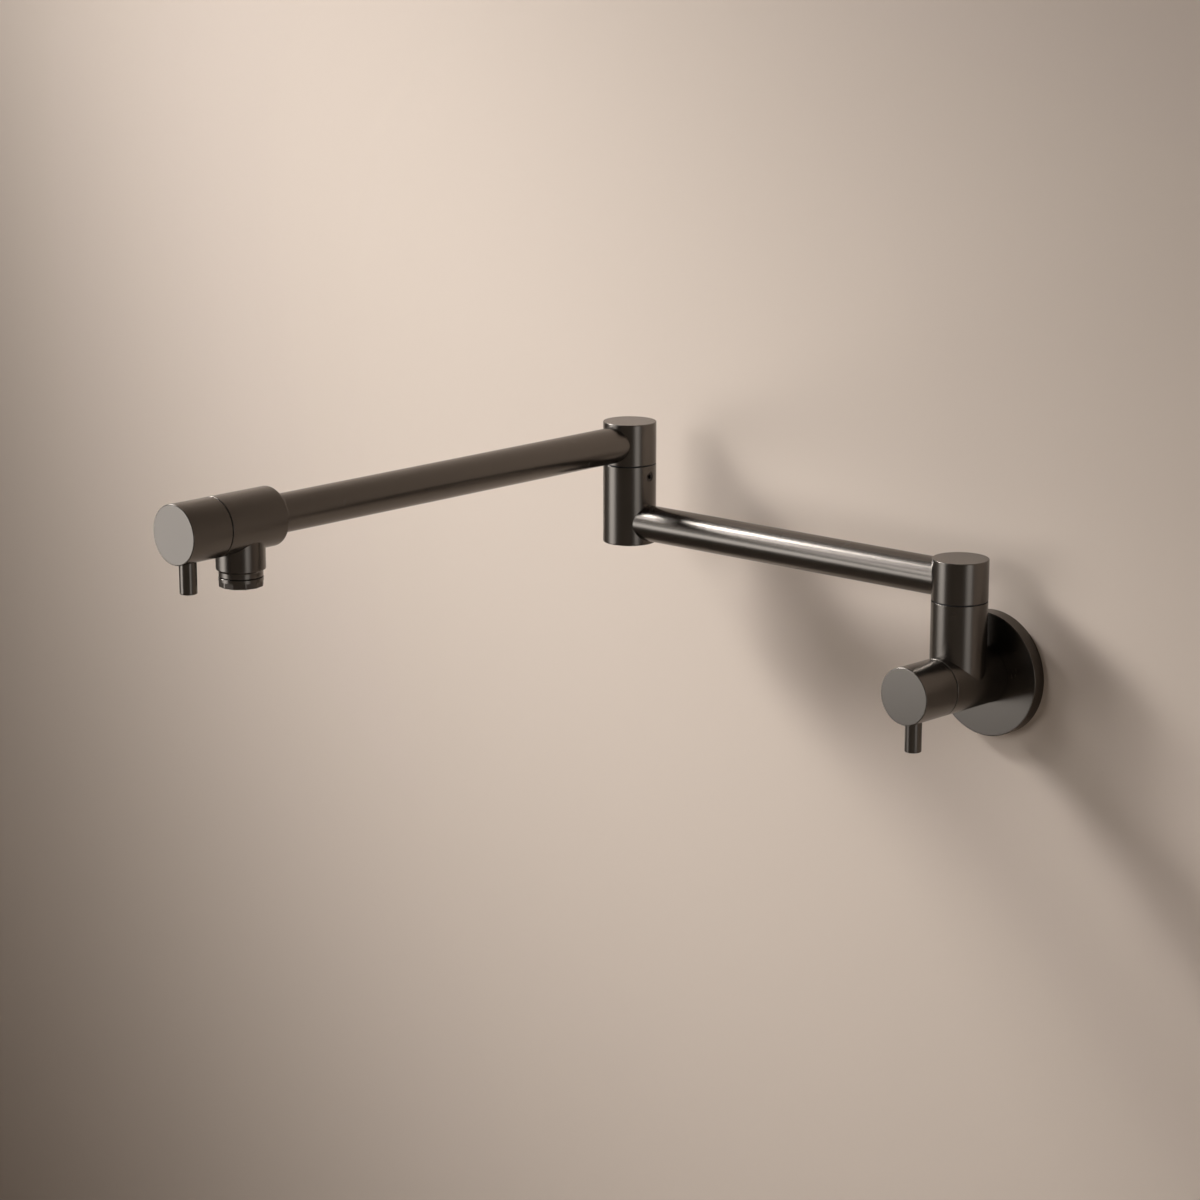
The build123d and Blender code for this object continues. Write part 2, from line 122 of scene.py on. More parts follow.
flange_radius = (flange_high - flange_low)[0] / 2
flange_thickness = (flange_high - flange_low)[1]
barrel_radius = (knob_high - knob_low)[0] / 2
post_radius = riser_cap_high[0] - riser_foot[0]
tube_radius = (tube_high - tube_low)[2] / 2
lower_arm_height = (tube_high + tube_low)[2] / 2
riser_seam = body_high[2]
elbow_seam = socket_high[2]
seam_gap = riser_cap_low[2] - riser_seam
inlet_seam = -body_low[1]
print(f"barrel {barrel_radius * 2:.1f}, post {post_radius * 2:.1f}, tube {tube_radius * 2:.1f} mm across")

# %% [markdown]
# ## Turning a profile
#
# Nearly every piece of a tap comes off a lathe, so the first tool is a lathe too. A profile is a short
# list of corners, each a radius and a height. On metal no edge is truly sharp: each corner is eased by a
# small arc, which catches the light as a thin bright line. A Bevel modifier could do that, but an arc in
# the profile keeps the grid regular, and an extra row beside each arc keeps the flats flat.

# %% Profile and lathe helpers
ARC_STEPS = 6
ROW_BESIDE_ARC = 0.06
EDGE, SEAM_EDGE, FINE_EASE = 0.45, 0.225, 0.08
SAME_PLACE = 1e-4


def eased(corners, ease=EDGE, closed=False):
    """The corners of a profile with each one rounded by an arc.

    With P the corner, A and B the points one ease before and after it, t from 0 to 1 and w the cosine of
    half the turn, the arc is ((1-t)^2 A + 2t(1-t)w P + t^2 B) / ((1-t)^2 + 2t(1-t)w + t^2), which is a
    true circle. One more point stands just outside each end of the arc.
    """
    points = np.array(corners, float)
    if closed:
        points = np.concatenate([points[-1:], points, points[:1]])
    middle = points[1:-1]
    step = np.diff(points, axis=0)
    step /= np.linalg.norm(step, axis=1, keepdims=True)
    come, leave = step[:-1], step[1:]
    ease = np.broadcast_to(ease, len(middle))[:, None]
    weight = np.sqrt((1 + (come * leave).sum(1)) / 2)[:, None, None]
    t = np.linspace(0, 1, ARC_STEPS + 1)[None, :, None]
    start = (middle - come * ease)[:, None]
    end = (middle + leave * ease)[:, None]
    arcs = (1 - t) ** 2 * start + 2 * t * (1 - t) * weight * middle[:, None] + t ** 2 * end
    arcs /= (1 - t) ** 2 + 2 * t * (1 - t) * weight + t ** 2
    before = start - come[:, None] * ROW_BESIDE_ARC
    after = end + leave[:, None] * ROW_BESIDE_ARC
    path = np.concatenate([before, arcs, after], axis=1).reshape(-1, 2)
    if closed:
        path = np.concatenate([path, path[:1]])
    else:
        path = np.concatenate([points[:1], path, points[-1:]])
    apart = np.linalg.norm(np.diff(path, axis=0), axis=1) > SAME_PLACE
    return path[np.concatenate([[True], apart])]


def along(path):
    """Distance walked along a path from its start to each of its points."""
    return np.concatenate([[0], np.cumsum(np.linalg.norm(np.diff(path, axis=0), axis=1))])


def turn(path, angles):
    """A profile turned about the Z axis: (r sin a, r cos a, h) for each profile point and angle a.

    The second array is the brushing map: distance round the piece, and distance along the profile.
    """
    radius, height = path[:, :1], path[:, 1:]
    a = angles[None, :]
    points = np.stack([radius * np.sin(a), radius * np.cos(a), height + 0 * a], axis=2)
    brushing = np.stack([radius.max() * a + 0 * radius, along(path)[:, None] + 0 * a], axis=2)
    return points, brushing


def ring(steps):
    """Evenly spaced angles all the way round, with the first repeated at the end."""
    return np.linspace(-np.pi, np.pi, steps + 1)


print("one eased corner is", len(eased([(9, 0), (9, 9), (0, 9)])) - 2, "points")

# %% [markdown]
# ## A hole in a round wall
#
# A riser stands on a barrel and a lever pin goes into a knob: in both, one cylinder meets another along a
# saddle line. Cutting it with a Boolean modifier leaves long thin faces that spoil a shiny surface. Here
# the wall around the saddle is its own patch: rings that start as the saddle line and end as a rectangle
# which fits the grid of the barrel around it.

# %% Saddle helpers
SADDLE_RINGS, SADDLE_CROWDING, BRANCH_ROWS = 14, 1.5, 16


def saddle(wall_radius, hole_radius, angles):
    """The line where a hole meets a round wall, as (angle round the wall, place along it).

    At angle p round the hole it is (asin(hole sin p / wall), hole cos p).
    """
    round_wall = np.arcsin(hole_radius / wall_radius * np.sin(angles))
    return np.stack([round_wall, hole_radius * np.cos(angles)], axis=1)


def square(count):
    """Points evenly spaced round a square from -1 to 1, count to a side, from one corner and back to it."""
    side = np.linspace(-1, 1, count + 1)[:-1]
    one = np.ones(count)
    across = np.concatenate([side, one, -side, -one])
    upright = np.concatenate([one, -side, -one, side])
    return np.stack([np.append(across, -1), np.append(upright, 1)], axis=1)


def hole_angles(count):
    """Angles round a hole that match the points of a square with count to a side."""
    return np.linspace(-np.pi / 4, 7 * np.pi / 4, 4 * count + 1)


def wall_with_hole(wall_radius, hole_radius, middle, half_length, steps, count):
    """A stretch of round wall with a hole on the +Y side, as two patches.

    The first blends from the saddle line to a rectangle that spans count of the steps round the wall: a
    ring at share w is (1-w) saddle + w rectangle, in (angle, place along). The second is the plain rest.
    """
    half_angle = np.pi * count / steps
    inner = saddle(wall_radius, hole_radius, hole_angles(count))
    outer = square(count) * [half_angle, half_length]
    w = (np.linspace(0, 1, SADDLE_RINGS + 1) ** SADDLE_CROWDING)[:, None, None]
    spread = (1 - w) * inner + w * outer
    rest_angle = np.linspace(half_angle, 2 * np.pi - half_angle, steps - count + 1)[None, :]
    rest_place = np.linspace(-half_length, half_length, count + 1)[:, None]
    rest = np.stack([rest_angle + 0 * rest_place, rest_place + 0 * rest_angle], axis=2)
    patches = []
    for angle, place in (np.moveaxis(spread, 2, 0), np.moveaxis(rest, 2, 0)):
        across, upright = wall_radius * np.sin(angle), wall_radius * np.cos(angle)
        points = np.stack([across, upright, middle + place], axis=2)
        patches.append((points, np.stack([wall_radius * angle, middle + place], axis=2)))
    return patches


def branch(wall_radius, hole_radius, middle, path, count):
    """A turned branch along +Y that starts on the saddle line of a wall lying along Z.

    The first rows rise from the saddle line, at the square root of wall radius squared minus (hole radius
    times sin p) squared, to the first point of the path, which is a profile of radius and height from the
    wall's axis. After that the path is turned about the branch's own axis.
    """
    p = hole_angles(count)
    foot = np.sqrt(wall_radius ** 2 - (hole_radius * np.sin(p)) ** 2)
    share = np.linspace(0, 1, BRANCH_ROWS + 1)[:-1, None]
    foot_rows = foot + share * (path[0, 1] - foot)
    radius = np.concatenate([np.full_like(foot_rows, hole_radius), path[:, :1] + 0 * p])
    height = np.concatenate([foot_rows, path[:, 1:] + 0 * p])
    points = np.stack([radius * np.sin(p), height, middle + radius * np.cos(p)], axis=2)
    walked = np.concatenate([foot_rows, path[0, 1] + along(path)[:, None] + 0 * p])
    return points, np.stack([hole_radius * p + 0 * walked, walked], axis=2)


saddle_reach = saddle(barrel_radius, post_radius, hole_angles(1))[:, 0].max()
print(f"the riser reaches {np.degrees(saddle_reach):.0f} degrees round the barrel at its corners")

# %% [markdown]
# ## From arrays to a closed mesh
#
# Each patch is a grid of points, so its faces are known from the grid alone. Patches meet point on point,
# so merging doubles closes every seam and every pole. Every finished mesh is tested: each edge must have
# two faces, and the volume says that the faces point outwards.

# %% Mesh helpers
SHARP_ANGLE = radians(32)
MERGE_MM, SLIVER_MM = 0.002, 0.001


def standing(origin, axis, toward):
    """A place for a piece: Z along axis, Y toward the second direction, at a point in millimetres."""
    z = unit(np.asarray(axis, float))
    y = unit(np.asarray(toward, float) - z * np.dot(toward, z))
    return np.asarray(origin, float), np.stack([np.cross(y, z), y, z])


def laid(patches, place):
    """Patches moved from their own place into the place of the piece that they belong to."""
    origin, axes = place
    return [(points @ axes + origin, flow) for points, flow in patches]


def grid_faces(rows, columns, first):
    """The four corner numbers of each face in a grid of points that is numbered row by row."""
    corner = first + np.arange(rows - 1)[:, None] * columns + np.arange(columns - 1)
    return np.stack([corner, corner + 1, corner + columns + 1, corner + columns], axis=2).reshape(-1, 4)


def joined_mesh(name, patches):
    """One mesh from several patches, with their brushing maps, in metres and not yet merged."""
    firsts = np.cumsum([0] + [points[..., 0].size for points, _ in patches])
    points = np.concatenate([points.reshape(-1, 3) for points, _ in patches])
    brushing = np.concatenate([flow.reshape(-1, 2) for _, flow in patches])
    faces = np.concatenate([
        grid_faces(*grid.shape[:2], first) for (grid, _), first in zip(patches, firsts)
    ])
    mesh = bpy.data.meshes.new(name)
    mesh.from_pydata(points * MM, [], faces)
    flow_map = mesh.uv_layers.new(name="brushing")
    flow_map.uv.foreach_set("vector", brushing[faces.ravel()].ravel().astype(np.float32))
    return mesh


def close_up(mesh):
    """Merges the patches of a mesh and turns its faces outwards; gives its open edges and its volume."""
    shape = bmesh.new()
    shape.from_mesh(mesh)
    bmesh.ops.remove_doubles(shape, verts=shape.verts, dist=MERGE_MM * MM)
    bmesh.ops.dissolve_degenerate(shape, edges=shape.edges, dist=SLIVER_MM * MM)
    bmesh.ops.recalc_face_normals(shape, faces=shape.faces)
    open_edges = sum(len(edge.link_faces) != 2 for edge in shape.edges)
    volume = shape.calc_volume(signed=True) / MM ** 3
    shape.to_mesh(mesh)
    shape.free()
    return open_edges, volume


def make_piece(name, patches, place, body, node, material):
    """Joins the patches into one closed mesh, which stands for a node and rides on its body."""
    mesh = joined_mesh(name, laid(patches, place))
    open_edges, volume = close_up(mesh)
    mesh.shade_smooth()
    mesh.set_sharp_from_angle(angle=SHARP_ANGLE)
    mesh.materials.append(material)
    piece = bpy.data.objects.new(name, mesh)
    bpy.context.scene.collection.objects.link(piece)
    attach(piece, body)
    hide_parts(node)
    print(f"{name}: {len(mesh.polygons)} faces, {open_edges} open edges, {volume:.0f} cubic mm")


print("edges sharper than", round(np.degrees(SHARP_ANGLE)), "degrees stay sharp")

# %% [markdown]
# ## Materials: one way to add a node
#
# Every finish below is a small node tree. One function adds a node, sets it up and links it, and one more
# turns an everyday hex colour into the linear numbers that a shader works in.

# %% Material helpers
def colour(hex_code):
    """Linear red, green, blue and alpha of an sRGB hex colour: ((c + 0.055) / 1.055) ^ 2.4, or c / 12.92."""
    c = np.array([int(hex_code[i:i + 2], 16) for i in (1, 3, 5)]) / 255
    linear = np.where(c <= 0.04045, c / 12.92, ((c + 0.055) / 1.055) ** 2.4)
    return (*map(float, linear), 1.0)


def add_node(tree, kind, inputs, **settings):
    """Adds a node: settings are its own properties, inputs are values or the sockets that feed it."""
    node = tree.nodes.new(kind)
    for name, value in settings.items():
        setattr(node, name, value)
    for name, value in inputs.items():
        if isinstance(value, bpy.types.NodeSocket):
            tree.links.new(value, node.inputs[name])
        else:
            node.inputs[name].default_value = value
    return node


def new_material(name):
    """An empty material, its node tree and its shader."""
    material = bpy.data.materials.new(name)
    material.use_nodes = True
    return material, material.node_tree, material.node_tree.nodes["Principled BSDF"]


print("middle grey #808080 is", round(colour("#808080")[0], 3), "in linear light")

# %% [markdown]
# ## Brushed gunmetal
#
# The outside is steel and brass, brushed round and round with a fine belt and then coated dark in a
# vacuum chamber. The coating is thin, so the brushing still shows: reflections stay crisp across the
# scratches and smear along the axis. The colour is a warm brown-grey, and like any metal it lives from
# what it reflects. The scratches follow the piece's own brushing map, which is in millimetres.

# %% Brushed gunmetal material
SCRATCH_SPACING_MM = 0.22  # real ones are near 0.05 mm, drawn coarser so that they show
SCRATCH_LENGTH_MM = 9.0
HANDLING_MM = 14.0
SCRATCH_RELIEF, SCRATCH_DEPTH_MM = 0.03, 0.02
SATIN_LOW, SATIN_HIGH = 0.258, 0.266
SMUDGE = 0.012


def brushed_gunmetal():
    """Two close tones and a gloss that follow the scratches, dulled a little where hands have been."""
    material, tree, shader = new_material("gunmetal_vapour_coated_brushed_steel")
    flow = add_node(tree, "ShaderNodeUVMap", {}, uv_map="brushing")
    stretched = add_node(tree, "ShaderNodeMapping", {
        "Vector": flow.outputs["UV"],
        "Scale": (1 / SCRATCH_LENGTH_MM, 1 / SCRATCH_SPACING_MM, 1.0),
    })
    scratches = add_node(tree, "ShaderNodeTexNoise", {
        "Vector": stretched.outputs["Vector"], "Scale": 1.0, "Detail": 2.0, "Roughness": 0.6,
    }, noise_dimensions="2D")
    place = add_node(tree, "ShaderNodeTexCoord", {})
    handling = add_node(tree, "ShaderNodeTexNoise", {
        "Vector": place.outputs["Object"], "Scale": 1 / (HANDLING_MM * MM), "Detail": 3.0,
    })
    tone = add_node(tree, "ShaderNodeMix", {
        "Factor": scratches.outputs["Fac"], "A": colour("#645f5a"), "B": colour("#68635e"),
    }, data_type="RGBA")
    gloss = add_node(tree, "ShaderNodeMapRange", {
        "Value": scratches.outputs["Fac"], "From Min": 0.3, "From Max": 0.7,
        "To Min": SATIN_LOW, "To Max": SATIN_HIGH,
    })
    smudged = add_node(tree, "ShaderNodeMath", {
        0: handling.outputs["Fac"], 1: SMUDGE, 2: gloss.outputs["Result"],
    }, operation="MULTIPLY_ADD")
    relief = add_node(tree, "ShaderNodeBump", {
        "Height": scratches.outputs["Fac"], "Strength": SCRATCH_RELIEF, "Distance": SCRATCH_DEPTH_MM * MM,
    })
    tree.links.new(tone.outputs["Result"], shader.inputs["Base Color"])
    tree.links.new(smudged.outputs["Value"], shader.inputs["Roughness"])
    tree.links.new(relief.outputs["Normal"], shader.inputs["Normal"])
    shader.inputs["Metallic"].default_value = 1.0
    return material


gunmetal = brushed_gunmetal()
print("made", gunmetal.name)

# %% [markdown]
# ## The wall flange
#
# A flat disc that hides the hole in the wall. It is turned from one bar: a thin plate, a rim that rests on
# the wall, and a hub with a groove for the rubber ring that grips the barrel. Its profile is a closed loop,
# so turning it gives a closed ring with no poles. Only the outer front edge shows, so it alone gets the
# full easing.

# %% Wall flange
BARREL_STEPS = 128
flange_fit, hub_wall, rim_wall, plate_thickness = 0.1, 4.7, 3.0, 2.5
hub_back, groove_low, groove_high, groove_depth = 1.0, 2.8, 4.4, 1.6

flange_bore = barrel_radius + flange_fit
hub_radius = barrel_radius + hub_wall
groove_radius = barrel_radius + groove_depth
rim_inside = flange_radius - rim_wall
plate_back = flange_thickness - plate_thickness
front_edge = (flange_radius, flange_thickness)
flange_corners = [
    (flange_bore, hub_back), (hub_radius, hub_back), (hub_radius, plate_back), (rim_inside, plate_back),
    (rim_inside, 0), (flange_radius, 0), front_edge, (flange_bore, flange_thickness),
    (flange_bore, groove_high), (groove_radius, groove_high), (groove_radius, groove_low),
    (flange_bore, groove_low),
]
flange_ease = [EDGE if corner == front_edge else FINE_EASE for corner in flange_corners]
make_piece(
    "flange_disc", [turn(eased(flange_corners, flange_ease, closed=True), ring(BARREL_STEPS))],
    standing((0, 0, 0), ROOM, UP), "wall_valve", "wall_flange", gunmetal,
)

# %% [markdown]
# ## The top of a post
#
# Both posts end in the same cup: a bore for a swivel journal, and near the top a small hole for the screw
# that keeps the journal in. One function makes that stretch, so the riser and the elbow share it.

# %% Post with a screw hole
swivel_bore, swivel_depth = 10.05, 25.5
screw_hole, screw_drop, screw_stretch, screw_floor = 2.55, 6.0, 4.0, 10.4
hole_lead = 1.0
RISER_COUNT = BARREL_STEPS // 2
POST_STEPS = 4 * RISER_COUNT
SCREW_COUNT = 20


def post_end(top):
    """The top of a post: its wall above the screw hole, its rim, and the bore for a swivel journal."""
    corners = [
        (post_radius, top - screw_drop + screw_stretch), (post_radius, top), (swivel_bore, top),
        (swivel_bore, top - swivel_depth), (0, top - swivel_depth),
    ]
    return eased(corners, [SEAM_EDGE, FINE_EASE, FINE_EASE])


def post_with_screw_hole(top):
    """The upper part of a post along Z, from below the screw hole, with the hole on the +Y side."""
    middle = top - screw_drop
    bottom = [(screw_hole, screw_floor + hole_lead), (screw_hole, screw_floor), (0, screw_floor)]
    return [
        *wall_with_hole(post_radius, screw_hole, middle, screw_stretch, POST_STEPS, SCREW_COUNT),
        branch(post_radius, screw_hole, middle, eased(bottom, FINE_EASE), SCREW_COUNT),
        turn(post_end(top), ring(POST_STEPS)),
    ]


print("a post is", POST_STEPS, "steps round")

# %% [markdown]
# ## The valve body
#
# A level barrel with the riser standing on it. The barrel is three stretches: its back end with the bore
# for the nipple, the stretch that carries the saddle, and its front end with the bore for the cartridge.
# The riser starts on the saddle line, and the screw hole near its top faces the wall.

# %% Valve body
cartridge_bore, cartridge_depth, nipple_bore, seat_wall = 9.05, 27.0, 9.55, 3.5
tee_reach, riser_start = 16.4, 1.0

riser_offset = -riser_foot[1]
body_back = -body_high[1]
cartridge_floor = inlet_seam - cartridge_depth
nipple_floor = inlet_seam - cartridge_depth - seat_wall
front_corners = [
    (barrel_radius, riser_offset + tee_reach), (barrel_radius, inlet_seam), (cartridge_bore, inlet_seam),
    (cartridge_bore, cartridge_floor), (0, cartridge_floor),
]
back_corners = [
    (barrel_radius, riser_offset - tee_reach), (barrel_radius, body_back), (nipple_bore, body_back),
    (nipple_bore, nipple_floor), (0, nipple_floor),
]
riser_corners = np.array([
    (post_radius, barrel_radius + riser_start), (post_radius, riser_seam - screw_drop - screw_stretch),
])
make_piece(
    "valve_tee", [
        turn(eased(front_corners, [EDGE, FINE_EASE, FINE_EASE]), ring(BARREL_STEPS)),
        turn(eased(back_corners, FINE_EASE), ring(BARREL_STEPS)),
        *wall_with_hole(barrel_radius, post_radius, riser_offset, tee_reach, BARREL_STEPS, RISER_COUNT),
        branch(barrel_radius, post_radius, riser_offset, riser_corners, RISER_COUNT),
        *laid(post_with_screw_hole(riser_seam), standing((0, 0, riser_offset), (0, 1, 0), (0, 0, -1))),
    ],
    standing((0, 0, 0), ROOM, UP), "wall_valve", "valve_body", gunmetal,
)

# %% [markdown]
# ## The swivel heads and the elbow socket
#
# The posts turn on brass journals hidden inside them. A head is a plug with a flat cap, hollow below where
# it takes the washer and the stem. The socket below the elbow is a cup with the same screw hole. The thin
# gap between head and cup is left open, because a real seam shows as a fine dark line.

# %% Swivel heads and elbow socket
washer_room, washer_pocket, stem_bore, stem_room = 0.9, 14.05, 9.05, 7.4


def swivel_head(height):
    """A head from its seam up: stem bore, washer pocket, outside wall and cap."""
    corners = [
        (0, stem_room), (stem_bore, stem_room), (stem_bore, washer_room), (washer_pocket, washer_room),
        (washer_pocket, seam_gap), (post_radius, seam_gap), (post_radius, height), (0, height),
    ]
    return turn(eased(corners, [FINE_EASE] * 4 + [SEAM_EDGE, EDGE]), ring(POST_STEPS))


make_piece(
    "riser_cap", [swivel_head(riser_cap_high[2] - riser_seam)],
    standing(on_axis(riser_foot, riser_seam), UP, lower_way),
    "lower_arm", "riser_head", gunmetal,
)
make_piece(
    "elbow_cap", [swivel_head(elbow_top - elbow_seam)],
    standing(on_axis(elbow_foot, elbow_seam), UP, upper_way),
    "upper_arm", "elbow_head", gunmetal,
)
socket_corners = [
    (0, socket_low[2]), (post_radius, socket_low[2]),
    (post_radius, elbow_seam - screw_drop - screw_stretch),
]
make_piece(
    "elbow_post", [turn(eased(socket_corners), ring(POST_STEPS)), *post_with_screw_hole(elbow_seam)],
    standing(on_axis(elbow_foot, 0), UP, -lower_way),
    "lower_arm", "elbow_socket", gunmetal,
)

# %% [markdown]
# ## The arm tubes
#
# Each tube is cut to the round of its posts and brazed on, so its end is a saddle too. The outer wall runs
# out, the inner wall runs back, and the two rims join them. The upper tube has a plain far end, which sits
# in the outlet body.

# %% Arm tubes
tube_wall = 1.5
TUBE_STEPS, TUBE_ROWS = 96, 48


def arm_tube(length, far_post):
    """A tube along Z from a post at its start, to a second post at the length or to a plain end there.

    At angle a round the tube, an end that meets a post lies at the square root of post radius squared
    minus (tube radius times sin a) squared from the post's axis.
    """
    a = ring(TUBE_STEPS)[None, :]
    share = np.concatenate([np.linspace(0, 1, TUBE_ROWS), np.linspace(1, 0, TUBE_ROWS), [0]])[:, None]
    walls = [tube_radius, tube_radius - tube_wall, tube_radius]
    radius = np.repeat(walls, [TUBE_ROWS, TUBE_ROWS, 1])[:, None]
    setback = np.sqrt(post_radius ** 2 - (radius * np.sin(a)) ** 2)
    place = setback + share * (length - setback - (setback if far_post else 0))
    points = np.stack([radius * np.sin(a), radius * np.cos(a), place], axis=2)
    return points, np.stack([tube_radius * a + 0 * place, place], axis=2)


upper_tube_run = elbow_foot[1] - upper_tube_end - tube_radius * abs(upper_way[0])
upper_tube_length = upper_tube_run / abs(upper_way[1])
make_piece(
    "lower_tube", [arm_tube(lower_arm_length, True)],
    standing(on_axis(riser_foot, lower_arm_height), lower_way, UP),
    "lower_arm", "lower_arm_tube", gunmetal,
)
make_piece(
    "upper_tube", [arm_tube(upper_tube_length, False)],
    standing(on_axis(elbow_foot, upper_arm_height), upper_way, UP),
    "upper_arm", "upper_arm_tube", gunmetal,
)

# %% [markdown]
# ## The outlet body
#
# At the end of the upper arm is a second barrel, with the spout collar under it. The collar steps in to a
# thinner neck, and the aerator screws into that. Sizes below the barrel are counted down from the arm's
# axis, so that the aerator and the neck keep their fit to each other.

# %% Sizes of the spout
aerator_height, aerator_gap, neck_length, collar_bevel, thread_depth = 4.7, 0.4, 2.8, 0.9, 7.2
insert_fit, aerator_wall, thread_fit, neck_wall = 0.05, 1.15, 0.05, 1.3
collar_radius, collar_reach, collar_start, collar_ease = 12.5, 14.5, 0.6, 0.25
COLLAR_COUNT = 48

aerator_bottom = upper_arm_height - aerator_low[2]
aerator_top = aerator_bottom - aerator_height
neck_end = aerator_top - aerator_gap
neck_top = neck_end - neck_length
collar_drop = neck_top - collar_bevel
aerator_seat = neck_end - thread_depth
aerator_bore = (insert_high - insert_low)[0] / 2 + insert_fit
aerator_stem = aerator_bore + aerator_wall
neck_bore = aerator_stem + thread_fit
neck_radius = neck_bore + neck_wall
spout_foot = (insert_low + insert_high) / 2
spout_distance = np.linalg.norm((spout_foot - elbow_foot)[:2])
print(f"the spout is {spout_distance:.1f} mm from the elbow's axis")

# %% Outlet body
spout_to_seam, socket_fit, tube_socket_depth = 17.1, 0.03, 6.3
back_edge = EDGE * 2

tube_socket = tube_radius + socket_fit
outlet_slant = 2 * barrel_radius * abs(upper_way[0])
outlet_length = ((outlet_high - outlet_low)[1] - outlet_slant) / abs(upper_way[1])
socket_floor = tube_socket_depth - outlet_length
outlet_seam_point = on_axis(elbow_foot, upper_arm_height) + upper_way * (spout_distance + spout_to_seam)
front_corners = [
    (barrel_radius, collar_reach - spout_to_seam), (barrel_radius, 0), (cartridge_bore, 0),
    (cartridge_bore, -cartridge_depth), (0, -cartridge_depth),
]
back_corners = [
    (barrel_radius, -collar_reach - spout_to_seam), (barrel_radius, -outlet_length),
    (tube_socket, -outlet_length), (tube_socket, socket_floor), (0, socket_floor),
]
collar_corners = [
    (collar_radius, barrel_radius + collar_start), (collar_radius, collar_drop), (neck_radius, neck_top),
    (neck_radius, neck_end), (neck_bore, neck_end), (neck_bore, aerator_seat), (0, aerator_seat),
]
collar_path = eased(collar_corners, [collar_ease] * 3 + [FINE_EASE] * 2)
make_piece(
    "spout_tee", [
        turn(eased(front_corners, [EDGE, FINE_EASE, FINE_EASE]), ring(BARREL_STEPS)),
        turn(eased(back_corners, [back_edge, FINE_EASE, FINE_EASE]), ring(BARREL_STEPS)),
        *wall_with_hole(
            barrel_radius, collar_radius, -spout_to_seam, collar_reach, BARREL_STEPS, COLLAR_COUNT,
        ),
        branch(barrel_radius, collar_radius, -spout_to_seam, collar_path, COLLAR_COUNT),
    ],
    standing(outlet_seam_point, upper_way, -UP), "upper_arm", "outlet_body", gunmetal,
)

# %% [markdown]
# ## The aerator
#
# The ring that holds the honeycomb screws into the neck. Its lower half has twelve small flats for a
# wrench. They could be cut with a Boolean, but the ring is turned anyway: on that band the turned radius is
# swapped for the radius of a twelve-sided outline, which fades away towards the opening.

# %% Aerator
FLATS, AERATOR_STEPS = 12, 144
flats_height, lip_height, lip_width, bore_lead = 2.9, 0.7, 0.8, 3.0
shoulder_ease, wrench_ease, flats_fade = 0.2, 0.25, 0.5

aerator_radius = (aerator_high - aerator_low)[0] / 2
flats_top, lip_top = aerator_bottom - flats_height, aerator_bottom - lip_height
stem_top, lip_radius = upper_arm_height - aerator_high[2], aerator_bore - lip_width
bore_start = (aerator_bore, lip_top - bore_lead)


def aerator_nut():
    """Three turned bands in one loop. On the wrench band the radius is multiplied by cos 15 / cos d, with d
    the angle from the middle of the nearest flat, so that its corners stand on the round."""
    a = ring(AERATOR_STEPS)
    half = np.pi / FLATS
    outline = np.cos(half) / np.cos(np.mod(a, 2 * half) - half)
    stem = eased([
        bore_start, (aerator_bore, stem_top), (aerator_stem, stem_top), (aerator_stem, aerator_top),
        (aerator_radius, aerator_top), (aerator_radius, flats_top),
    ], [FINE_EASE] * 3 + [shoulder_ease])
    wrench = eased([
        (aerator_radius, flats_top), (aerator_radius, aerator_bottom), (lip_radius, aerator_bottom),
    ], wrench_ease)
    lip = eased([
        (lip_radius, aerator_bottom), (lip_radius, lip_top), (aerator_bore, lip_top), bore_start,
    ], FINE_EASE)
    bands = [turn(stem, a), turn(wrench, a), turn(lip, a)]
    grip = bands[1][0]
    outward = np.hypot(grip[..., 0], grip[..., 1]) - lip_radius
    share = np.clip(outward / (aerator_radius - lip_radius - flats_fade), 0, 1)
    grip[..., :2] *= (1 + share * (outline - 1))[..., None]
    points = np.concatenate([band[0] for band in bands])
    flow = np.concatenate([band[1] for band in bands])
    return points, flow


make_piece(
    "aerator_nut", [aerator_nut()], standing(on_axis(spout_foot, upper_arm_height), -UP, upper_way),
    "upper_arm", "aerator_ring", gunmetal,
)

# %% [markdown]
# ## The knobs and their lever pins
#
# Both valves turn with the same knob: a plain drum with a flat face and a short pin screwed into its
# underside. The drum is hollow behind, for the cartridge, and the pin's hole is a saddle hole again.

# %% Sizes of a knob and its pin
knob_gap, knob_hollow, hollow_depth, knob_back_ease = 0.5, 11.52, 8.0, EDGE * 0.7
spindle_bore, spindle_past_pin = 4.05, 3.5
pin_fit, pin_seat, pin_seat_gap, pin_hole_lead, pin_stretch = 0.05, 12.0, 0.05, 0.3, 6.5
pin_tail_radius, pin_tail_end, clamp_bore, clamp_floor = 2.5, 9.4, 2.55, 4.3
PIN_COUNT, PIN_STEPS = 16, 64

knob_length = -knob_low[1] - inlet_seam
pin_station = -(pin_low + pin_high)[1] / 2 - inlet_seam
pin_radius, pin_reach = (pin_high - pin_low)[0] / 2, -pin_low[2]
pin_hole = pin_radius + pin_fit
pin_foot = pin_seat + pin_seat_gap
spindle_room = pin_station + spindle_past_pin
print(f"a knob is {knob_length:.1f} mm long, and its pin stands {pin_station:.1f} mm from the seam")

